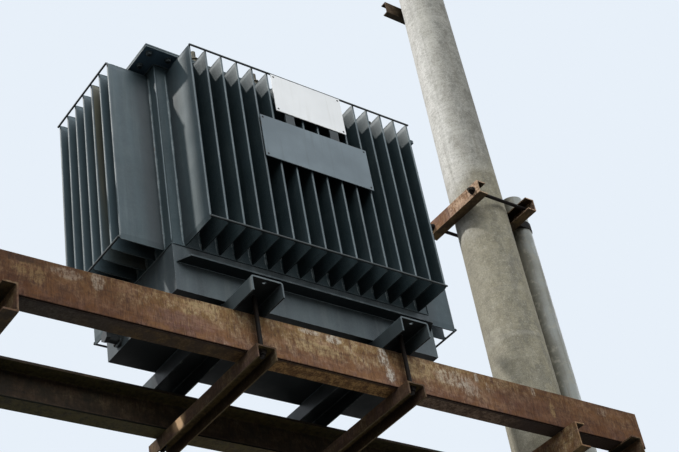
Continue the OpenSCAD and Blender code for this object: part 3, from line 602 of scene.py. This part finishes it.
def enamel(name, low, high, grime_and_shade, grime_share):
    """A flat painted plate with rain dirt and a chipped rim."""
    n = Nodes(name)
    cloud = n.noise(4.0, 4, 0.55)
    streak = n.noise(52.0, 3, 0.6, stretch=(1, 1, 0.05))
    colour = n.mix(n.ramp(cloud, 0.35, 0.65), low, high)
    colour = n.layers(colour, (
        (streak, 0.52, 0.76, 0.0, grime_share, grime_and_shade),
        (n.noise(190.0, 3, 0.7), 0.58, 0.78, 0.0, grime_share, grime_and_shade)))
    chip = n.times(n.edges(0.004, 0.90, 0.997), n.ramp(n.noise(48.0, 5, 0.7), 0.55, 0.62))
    colour = n.mix(n.times(chip, 0.7), colour, srgb(98, 74, 56))
    wave = n.bump(n.noise(7.0, 2, 0.4), 0.12, 0.006)
    return n.finish(colour, n.ramp(cloud, 0.3, 0.7, 0.30, 0.46), wave, specular=0.45)


def make_materials():
    """One material for each slot."""
    return {
        "pole_concrete": concrete(),
        "rusty_steel": rusty_steel("rusty_steel"),
        "rod_steel": rod_steel(),
        "pipe_plastic": pipe_plastic(),
        "tank_paint": paint("tank_paint", *TANK_TONES, stain=oil_stain),
        "gasket_rubber": gasket_rubber(),
        "insulator_glaze": glaze(),
        "stud_brass": plain_metal(
            "stud_brass", srgb(70, 68, 60), srgb(98, 92, 76), srgb(58, 55, 48), 0.42, 0.60, 0.6),
        "collar_aluminium": plain_metal(
            "collar_aluminium", srgb(142, 144, 146), srgb(168, 170, 172), srgb(108, 106, 100),
            0.38, 0.56, 0.8),
        "valve_iron": paint(
            "valve_iron", srgb(32, 35, 36), srgb(46, 50, 51), srgb(84, 84, 78), rust_at=0.62),
        "white_enamel": enamel(
            "white_enamel", srgb(236, 237, 237), srgb(243, 244, 244), srgb(196, 194, 186), 0.16),
        "grey_enamel": enamel(
            "grey_enamel", srgb(98, 109, 115), srgb(112, 124, 130), srgb(80, 88, 90), 0.30),
    }


def front_beam_marks(front, foot):
    """Scars of old paint and rust on the front beam's outer face."""
    white, gold = srgb(214, 208, 196), srgb(172, 150, 112)
    plum, dark = srgb(112, 82, 78), srgb(70, 52, 44)
    deep = 0.05
    return [
        ((TANK_X + along, front, foot + up), (wide, deep, high), tone, share)
        for along, up, wide, high, tone, share in (
            (0.248, 0.120, 0.034, 0.060, white, 0.75), (0.268, 0.060, 0.030, 0.065, white, 0.70),
            (0.030, 0.142, 0.050, 0.025, white, 0.55), (-0.070, 0.148, 0.060, 0.016, white, 0.50),
            (-0.035, 0.085, 0.160, 0.040, gold, 0.70), (0.412, 0.100, 0.100, 0.060, gold, 0.55),
            (0.567, 0.105, 0.120, 0.050, white, 0.30), (0.647, 0.085, 0.080, 0.060, white, 0.30),
            (-0.490, 0.142, 0.130, 0.040, gold, 0.70), (-0.594, 0.060, 0.200, 0.055, plum, 0.65),
            (-0.884, 0.130, 0.034, 0.050, white, 0.60), (-0.991, 0.132, 0.080, 0.030, white, 0.45),
            (-1.116, 0.100, 0.080, 0.060, gold, 0.65), (-1.230, 0.145, 0.260, 0.022, dark, 0.85),
            (-0.300, 0.100, 0.030, 0.090, dark, 0.50), (0.900, 0.080, 0.300, 0.060, plum, 0.40),
            (0.692, 0.136, 0.014, 0.036, white, 0.60), (0.742, 0.103, 0.012, 0.034, white, 0.45),
            (0.984, 0.139, 0.014, 0.038, white, 0.60), (1.066, 0.078, 0.020, 0.055, gold, 0.85),
            (1.357, 0.128, 0.040, 0.030, white, 0.35), (-0.562, 0.117, 0.030, 0.040, gold, 0.80))
    ]


def make_own_materials():
    """Finishes of single nodes and pieces that differ from the rest of their slot."""
    lo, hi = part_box("front_beam")
    band, marks = (lo.z, hi.z), front_beam_marks(lo.y, lo.z)
    # A light beige tone over the near end of the clamp arms: partly the steel's own colour, partly
    # painted sunlight.
    lo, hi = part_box("right_clamp_arms")
    near_end = (lo.x, lo.y, (lo.z + hi.z) / 2)
    arm_marks = [(near_end, (0.90, 0.30, 0.20), srgb(212, 184, 158), 0.65)]
    # Painted light: a patch of sunlight on the left face of the left clamp bar.
    bar_sun_spot = (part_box("clamp_bars")[0].x, 0.165, 4.090)
    bar_sun_spot_marks = [(bar_sun_spot, (0.05, 0.055, 0.05), srgb(214, 178, 138), 0.95)]
    base = paint(
        "base_paint", srgb(60, 69, 73), srgb(74, 84, 87), srgb(106, 111, 109), stain=painted_skid_shade)
    # The cover's underside takes a light bluish painted reflection.
    top = paint("cover_paint", *TANK_TONES, under=(70, 90, 106))
    outer = rusty_steel("outer_member_rust", grime_and_shade=0.6)
    return {
        "cover": top,
        "rim_flange": top,
        "front_beam": rusty_steel("front_beam_rust", band, marks=marks),
        "left_inner_member": rusty_steel("left_member_rust", grime_and_shade=0.45),
        "tank_base": base,
        "left_skid": base,
        "right_skid": base,
        "rear_beam": rusty_steel("rear_beam_rust", band, grime_and_shade=0.92, moss_tone=(78, 72, 42)),
        "clamp_bars": rusty_steel(
            "clamp_bar_rust", grime_and_shade=0.72, marks=bar_sun_spot_marks, moss_tone=(96, 80, 48)),
        "top_brackets": rusty_steel("bracket_rust", grime_and_shade=0.8),
        "right_clamp_arms": rusty_steel("clamp_arm_rust", marks=arm_marks),
        "right_outer_member": outer,
        "left_outer_member": outer,
        "fin_tie_wires": paint(
            "wire_paint", srgb(38, 43, 43), srgb(54, 60, 60), srgb(84, 88, 84), edge_wear_and_highlight=0.0),
        "weld": paint("weld_paint", *TANK_TONES, edge_wear_and_highlight=0.0),
        "plate_holders": paint(
            "holder_paint", srgb(25, 29, 31), srgb(36, 41, 43), srgb(58, 62, 62)),
    }


# ---------------------------------------------------------------- mesh tools
class Piece:
    """Collects parts of one mesh and makes its object."""

    def __init__(self, name, slot):
        self.name, self.slot = name, slot
        self.verts, self.faces, self.smooth = [], [], []

    def add(self, verts, faces, matrix=None, smooth=False):
        start = len(self.verts)
        self.verts += [tuple(matrix @ Vector(v) if matrix else v) for v in verts]
        self.faces += [tuple(start + i for i in f) for f in faces]
        self.smooth += [smooth] * len(faces)

    def make(self, materials, finish=None):
        mesh = bpy.data.meshes.new(self.name)
        mesh.from_pydata(self.verts, [], self.faces)
        mesh.polygons.foreach_set("use_smooth", self.smooth)
        mesh.update()
        mesh.materials.append(finish or materials[self.slot])
        obj = bpy.data.objects.new(self.name, mesh)
        bpy.context.scene.collection.objects.link(obj)
        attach(obj, "root")
        return obj


def skin(rings, sides):
    """Faces of a closed tube whose vertices come ring by ring, with a cap at both ends."""
    faces = []
    for i in range(rings - 1):
        for k in range(sides):
            a, b = i * sides + k, i * sides + (k + 1) % sides
            faces.append((a, b, b + sides, a + sides))
    last = (rings - 1) * sides
    return faces + [tuple(reversed(range(sides))), tuple(range(last, last + sides))]


def lathe(profile, sides):
    """A closed solid from (radius, height) pairs, from the lowest cap to the highest."""
    verts = []
    for r, z in profile:
        for k in range(sides):
            a = 2 * math.pi * k / sides
            verts.append((r * math.cos(a), r * math.sin(a), z))
    return verts, skin(len(profile), sides)


def stand(at, axis, spin=0.0):
    """Places a solid that is built along +Z so that it stands at a point along an axis."""
    turn = Vector(axis).to_track_quat("Z", "Y").to_matrix().to_4x4()
    return Matrix.Translation(Vector(at)) @ turn @ Matrix.Rotation(spin, 4, "Z")


WASHER_SIDES, SMALL_SIDES, BEAD_SIDES = 28, 20, 6
WASHER_T = 0.0025


def washer(piece, m, r, t):
    c = t * 0.25
    piece.add(*lathe([(r - c, 0), (r, c), (r, t - c), (r - c, t)], WASHER_SIDES), m)


def hexagon(piece, m, across, h, z):
    """A hexagon head or nut with a chamfered top; across is the width across flats."""
    r = across / math.sqrt(3)
    c = h * 0.16
    piece.add(*lathe([(r * 0.93, z), (r, z + c * 0.5), (r, z + h - c), (r * 0.88, z + h)], 6), m)


def thread_end(piece, m, r, l, z, pitch=0.00175):
    """A threaded end as close ridges with a chamfered tip."""
    turns = max(2, round(l / pitch))
    profile = [(r * 0.86, z)]
    for i in range(turns):
        profile += [(r, z + (i + 0.35) * l / turns), (r * 0.87, z + (i + 0.9) * l / turns)]
    profile.append((r * 0.8, z + l))
    piece.add(*lathe(profile, SMALL_SIDES), m)


def bolt(piece, at, axis, d, spin, washer_t=WASHER_T):
    """A hexagon head on a washer, seated on the face at that point."""
    m = stand(at, axis, spin)
    washer(piece, m, d * 1.05, washer_t)
    hexagon(piece, m, d * 1.58, d * 0.62, washer_t)


def nut(piece, at, axis, d, spin, h, tail):
    """A washer, a nut and the bolt's threaded end."""
    m = stand(at, axis, spin)
    washer(piece, m, d * 1.05, WASHER_T)
    hexagon(piece, m, d * 1.58, h, WASHER_T)
    thread_end(piece, m, d / 2, tail, WASHER_T + h)


def ring_of_bolts(piece, centre, axis, radius, count, d, rng, washer_t=0.001):
    """Bolts on a flange, evenly round its middle."""
    m = stand(centre, axis)
    for k in range(count):
        a = math.pi / 4 + 2 * math.pi * k / count
        at = m @ Vector((radius * math.cos(a), radius * math.sin(a), 0))
        bolt(piece, at, axis, d, rng.uniform(0, 1), washer_t)


def thread_ring(piece, at, axis, d, l, pitch=0.002):
    """Ridges round a rod of the frame, so that its end shows a thread. The first cap is sunk."""
    turns = max(2, round(l / pitch))
    low, high, sink = d / 2 - 0.0005, d / 2 + 0.0004, 0.0004
    profile = [(low, sink)]
    for i in range(turns):
        profile += [(high, (i + 0.4) * l / turns), (low, (i + 0.95) * l / turns)]
    piece.add(*lathe(profile, SMALL_SIDES), stand(at, axis))


def fold_strip(piece, foot, along, out, sections):
    """The hollow fold between a wall and a fin. A section is height, offset on the wall, radius."""
    sink, steps = 0.0006, 5
    verts = []
    for z, offset, r in sections:
        turns = [math.pi / 2 * k / steps for k in range(steps + 1)]
        arc = [(r - r * math.sin(a), r - r * math.cos(a)) for a in turns]
        for u, v in [(-sink, -sink), (r, -sink)] + arc + [(-sink, r)]:
            verts.append(foot + along * (offset + u) + out * v + Vector((0, 0, z)))
    faces = skin(len(sections), steps + 4)
    if along.cross(out).z < 0:
        faces = [tuple(reversed(f)) for f in faces]
    piece.add(verts, faces)


def bead(piece, start, end, r, rng, step=0.0045, spread=0.16):
    """A weld bead along a straight line: a thin uneven tube with closed ends."""
    a, b = Vector(start), Vector(end)
    length = (b - a).length
    count = max(3, int(length / step))
    verts = []
    for i in range(count + 1):
        ease = min(1.0, 0.45 + 0.55 * min(i, count - i) / 2)
        ripple = spread * (0.5 if i % 2 else -0.5) + rng.uniform(-spread, spread) * 0.5
        rr = r * ease * (1.0 + ripple)
        dx, dy = rng.uniform(-1, 1) * r * 0.10, rng.uniform(-1, 1) * r * 0.10
        for k in range(BEAD_SIDES):
            t = 2 * math.pi * k / BEAD_SIDES
            verts.append((rr * math.cos(t) + dx, rr * math.sin(t) + dy, length * i / count))
    piece.add(verts, skin(count + 1, BEAD_SIDES), stand(a, b - a), smooth=True)


# ---------------------------------------------------------------- pieces
def cover_bolts(rng):
    """Bolts round the cover: heads on top, nuts under the rim. The lifting lugs stand over the
    middle ones of the short sides, which have no head."""
    heads, nuts = Piece("cover_bolt_heads", "tank_paint"), Piece("cover_bolt_nuts", "tank_paint")
    out, d, nut_h, tail = 0.045, 0.012, 0.0098, 0.002
    x0, y0 = TANK_HALF_L + out, TANK_HALF_W + out
    n_long, n_short = 15, 8
    places = []
    for i in range(n_long + 1):
        places += [(-x0 + 2 * x0 * i / n_long, s * y0) for s in (-1, 1)]
    for i in range(1, n_short):
        places += [(s * x0, -y0 + 2 * y0 * i / n_short) for s in (-1, 1)]
    for x, y in places:
        under_lug = abs(y) <= 0.01
        if not under_lug:
            bolt(heads, (TANK_X + x, y, COVER_TOP), UP, d, rng.uniform(0, math.pi))
        nut(nuts, (TANK_X + x, y, RIM_UNDER), DOWN, d, rng.uniform(0, math.pi), nut_h, tail)
    return [heads, nuts]


def fin_places():
    """Foot of every fin on its wall, with the directions along the wall and outwards."""
    for x in long_fin_x():
        for s in (-1, 1):
            yield Vector((x, s * TANK_HALF_W, 0)), Vector((1, 0, 0)), Vector((0, s, 0))
    for y in short_fin_y():
        for s in (-1, 1):
            yield Vector((TANK_X + s * TANK_HALF_L, y, 0)), Vector((0, 1, 0)), Vector((s, 0, 0))


def fin_details(rng):
    """Weld beads on every fin's pinched ends and at the tie wires, and the folds at its roots."""
    seams, wires = Piece("fin_seam_welds", "tank_paint"), Piece("tie_wire_welds", "tank_paint")
    folds = Piece("fin_root_folds", "tank_paint")
    inner, outer = 0.004, FIN_DEPTH - 0.0035
    wire_out, wire_heights = FIN_DEPTH + 0.0003, (FIN_LOW + 0.010, FIN_TOP - 0.002)
    pinch, end, end_r, fold_r = 0.022, 0.003, 0.0025, 0.006
    root = [(FIN_LOW + end, SEAM_HALF, end_r), (FIN_LOW + pinch, FIN_HALF_T, fold_r),
            (FIN_TOP - pinch, FIN_HALF_T, fold_r), (FIN_TOP - end, SEAM_HALF, end_r)]
    for foot, along, out in fin_places():
        for z in (FIN_LOW, FIN_TOP):
            up = Vector((0, 0, z))
            bead(seams, foot + out * inner + up, foot + out * outer + up, 0.0027, rng, 0.008, 0.10)
        for z in wire_heights:
            mid = foot + out * wire_out + Vector((0, 0, z))
            bead(wires, mid - along * 0.006, mid + along * 0.006, 0.0026, rng, 0.003)
        for side in (-1, 1):
            fold_strip(folds, foot, along * side, out, root)
    return [seams, wires, folds]


def tank_welds(rng):
    """Beads at the tank's corners, along the fin walls, and round flanges, skids and lugs."""
    p = Piece("tank_welds", "tank_paint")
    x0, x1, y1 = TANK_X - TANK_HALF_L, TANK_X + TANK_HALF_L, TANK_HALF_W

    def seam(start, end, r):
        bead(p, start, end, r, rng, step=0.006, spread=0.08)

    for x in (x0, x1):
        for y in (-y1, y1):
            seam((x, y, FIN_LOW + 0.004), (x, y, RIM_UNDER - 0.002), 0.0042)
    for z, r in ((FIN_LOW, 0.0038), (RIM_UNDER, 0.0045)):
        for y in (-y1, y1):
            seam((x0, y, z), (x1, y, z), r)
        for x in (x0, x1):
            seam((x, -y1, z), (x, y1, z), r)
    flange_lo, flange_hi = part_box("base_flanges")
    short = 0.008
    for y in (-y1, y1):
        for z in (flange_lo.z, flange_hi.z):
            seam((x0 + short, y, z), (x1 - short, y, z), 0.0036)
    round_in, round_down, back = 0.0038, 0.0016, 0.01
    for name in ("left_skid", "right_skid"):
        lo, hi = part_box(name)
        for y in (-y1, y1):
            bead(p, (lo.x + short, y, hi.z), (hi.x - short, y, hi.z), 0.0042, rng, spread=0.10)
        z = hi.z - round_down
        for x in (lo.x + round_in, hi.x - round_in):
            bead(p, (x, -y1 + back, z), (x, y1 - back, z), 0.0032, rng, spread=0.10)
    lo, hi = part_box("lifting_lugs")
    for x in (lo.x, hi.x - LUG_L):
        for y in (lo.y, hi.y):
            bead(p, (x + 0.004, y, lo.z), (x + LUG_L - 0.004, y, lo.z), 0.0042, rng, spread=0.10)
    return [p]


def plate_screws(rng):
    """A countersunk screw near each corner of the two plates, flush with them: they are the
    foremost faces."""
    p = Piece("plate_screws", "rod_steel")
    inset = 0.011
    head = [(0.0026, -0.0018), (0.0044, -0.0002), (0.0044, 0.00004)]
    for name in ("white_plate", "grey_plate"):
        lo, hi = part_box(name)
        for x in (lo.x + inset, hi.x - inset):
            for z in (lo.z + inset, hi.z - inset):
                p.add(*lathe(head, SMALL_SIDES), stand((x, lo.y, z), (0, -1, 0), rng.uniform(0, 1)))
    return [p]


def fitting_bolts(rng):
    """Small bolts on the insulators' collars, and the studs' threads."""
    bolts, threads = Piece("fitting_bolts", "rod_steel"), Piece("stud_threads", "stud_brass")
    collar_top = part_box("bushing_collars")[1].z
    bolt_d, washer_t, shown = 0.006, 0.001, 0.040
    for kind, count, ring, stud_d in (("lv", 4, 0.048, 0.020), ("hv", 3, 0.053, 0.012)):
        stud_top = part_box(f"{kind}_studs")[1].z
        for i in range(1, count + 1):
            x, y = middle(f"{kind}_bushing_{i}")
            for k in range(4):
                a = math.pi / 4 + k * math.pi / 2
                at = (x + ring * math.cos(a), y + ring * math.sin(a), collar_top)
                bolt(bolts, at, UP, bolt_d, rng.uniform(0, 1), washer_t)
            thread_ring(threads, (x, y, stud_top), DOWN, stud_d, shown)
    return [bolts, threads]


def rod_threads():
    """Threads on the ends of the rods that clamp the steelwork and hold the tank down."""
    p = Piece("rod_threads", "rod_steel")
    shown = 0.0095
    lo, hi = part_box("hold_down_rods")
    for x in HOLD_DOWN_X:
        for y in HOLD_DOWN_Y:
            thread_ring(p, (x, y, lo.z), UP, ROD_D, shown)
            thread_ring(p, (x, y, hi.z), DOWN, ROD_D, shown)
    for off_x, off_y, z in TIE_ROD_ENDS:
        for pole in POLES_X:
            for s_x in (-1, 1):
                for s_y in (-1, 1):
                    thread_ring(p, (pole + s_x * off_x, s_y * off_y, z), (-s_x, 0, 0), ROD_D, shown)
    lo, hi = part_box("top_brackets")
    for pole in POLES_X:
        for y, inwards in zip(BRACKET_BOLT_Y, (1, -1)):
            thread_ring(p, (pole, y, (lo.z + hi.z) / 2), (0, inwards, 0), ROD_D, shown)
    return [p]


def small_fasteners(rng):
    """Bolts on the pipe's straps, the filler, the tap switch and the valve, and the cap's ribs."""
    p, ribs = Piece("small_fasteners", "rod_steel"), Piece("filler_cap_ribs", "tank_paint")
    for back_x, z in STRAP_BACKS:
        for s in (-1, 1):
            at = (back_x + STRAP_T, s * STRAP_TAB_Y, z)
            bolt(p, at, (1, 0, 0), 0.008, rng.uniform(0, 1), 0.0015)
    x, y = middle("oil_filler")
    foot_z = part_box("oil_filler")[0].z
    flange_t, bolt_ring = 0.008, 0.039
    ring_of_bolts(p, (x, y, foot_z + flange_t), UP, bolt_ring, 4, 0.006, rng)
    cap_r, cap_up, cap_ribs = 0.0375, 0.083, 32
    rib = lathe([(0.0008, 0), (0.0014, 0.001), (0.0014, 0.021), (0.0008, 0.022)], 8)
    for k in range(cap_ribs):
        a = 2 * math.pi * k / cap_ribs
        foot = (x + cap_r * math.cos(a), y + cap_r * math.sin(a), foot_z + cap_up)
        ribs.add(*rib, stand(foot, UP))
    flange_up, bolt_ring = 0.026, 0.031
    at = (*middle("tap_switch"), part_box("tap_switch")[0].z + flange_up)
    ring_of_bolts(p, at, UP, bolt_ring, 3, 0.005, rng)
    lo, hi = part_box("drain_valve")
    flange_in, bore_up, bolt_ring = 0.012, 0.0285, 0.0238
    at = (hi.x - flange_in, middle("drain_valve")[1], lo.z + bore_up)
    ring_of_bolts(p, at, (-1, 0, 0), bolt_ring, 4, 0.004, rng, 0.0006)
    return [p, ribs]


def build_pieces(materials, own):
    """Makes every piece. Their order is that of the random draws."""
    rng = random.Random(SEED)
    pieces = cover_bolts(rng) + fin_details(rng) + tank_welds(rng) + plate_screws(rng)
    pieces += fitting_bolts(rng) + rod_threads() + small_fasteners(rng)
    for piece in pieces:
        piece.make(materials, own["weld"] if piece.name.endswith("_welds") else None)


# ---------------------------------------------------------------- stage
FLOOR_HALF = 60.0
SKY_LEVEL = 0.38


def seen_share(n):
    """1 for rays from the camera, a mirror or glass, which see the pale surroundings."""
    path = n.tree.nodes.new("ShaderNodeLightPath")
    seen = n.most(path.outputs["Is Camera Ray"], path.outputs["Is Glossy Ray"])
    return n.most(seen, path.outputs["Is Transmission Ray"])


def make_stage():
    """The plain pale floor. It throws less light back than it shows."""
    corners = [(x * FLOOR_HALF, y * FLOOR_HALF, 0) for x, y in ((-1, -1), (1, -1), (1, 1), (-1, 1))]
    mesh = bpy.data.meshes.new("floor")
    mesh.from_pydata(corners, [], [(0, 1, 2, 3)])
    floor = bpy.data.objects.new("floor", mesh)
    bpy.context.scene.collection.objects.link(floor)
    n = Nodes("floor")
    cloud = n.ramp(n.noise(0.8, 4), 0.3, 0.7)
    shade = n.mix(cloud, (0.37, 0.375, 0.38), (0.395, 0.40, 0.405))
    bounced = n.mix(cloud, (0.064, 0.062, 0.059), (0.074, 0.072, 0.069))
    mesh.materials.append(n.finish(n.mix(seen_share(n), bounced, shade), 0.9, specular=0.2))


class WorldNodes(Nodes):
    """The same short way to write nodes, for the world."""

    def __init__(self, world):
        self.tree = world.node_tree
        self.tree.nodes.clear()
        self.where = self.tree.nodes.new("ShaderNodeTexCoord").outputs["Generated"]

    def light(self, colour, strength):
        n = self.tree.nodes.new("ShaderNodeBackground")
        self.put(n.inputs["Color"], (*colour, 1.0))
        self.put(n.inputs["Strength"], strength)
        return n.outputs[0]


def make_world():
    """An even sky that lights from above the horizon. The camera sees a plain pale backdrop."""
    world = bpy.data.worlds.new("world")
    bpy.context.scene.world = world
    world.use_nodes = True
    n = WorldNodes(world)
    height = n.ramp(n.xyz(n.where)[2], 0.05, 0.55, 0.0, SKY_LEVEL)
    mix = n.tree.nodes.new("ShaderNodeMixShader")
    out = n.tree.nodes.new("ShaderNodeOutputWorld")
    n.put(mix.inputs[0], seen_share(n))
    n.put(mix.inputs[1], n.light((0.92, 0.96, 1.0), height))
    n.put(mix.inputs[2], n.light((0.80, 0.87, 0.95), 1.0))
    n.put(out.inputs[0], mix.outputs[0])


def make_lights():
    """A warm key from behind the left end, a broad fill on the camera's side, a weak one behind."""
    for name, energy, degrees, colour, towards in (
            ("key", 3.7, 2.0, (1.0, 0.98, 0.94), (-0.53, 0.31, 0.79)),
            ("fill", 2.9, 60.0, (0.95, 0.98, 1.0), (-0.25, -0.72, 0.65)),
            ("back", 1.4, 50.0, (0.95, 0.98, 1.0), (0.80, 0.42, 0.43))):
        sun = bpy.data.lights.new(name, "SUN")
        sun.energy = energy
        sun.angle = math.radians(degrees)
        sun.color = colour
        obj = bpy.data.objects.new(name, sun)
        obj.rotation_mode = "QUATERNION"
        obj.rotation_quaternion = Vector(towards).to_track_quat("Z", "Y")
        bpy.context.scene.collection.objects.link(obj)


# ---------------------------------------------------------------- run
make_camera()
materials = make_materials()
own = make_own_materials()
for name, obj in nodes.items():
    obj.data.materials.clear()
    obj.data.materials.append(own.get(name) or materials[SLOT_OF[name]])
build_pieces(materials, own)
make_stage()
make_world()
make_lights()
bpy.context.scene.view_settings.view_transform = "Standard"
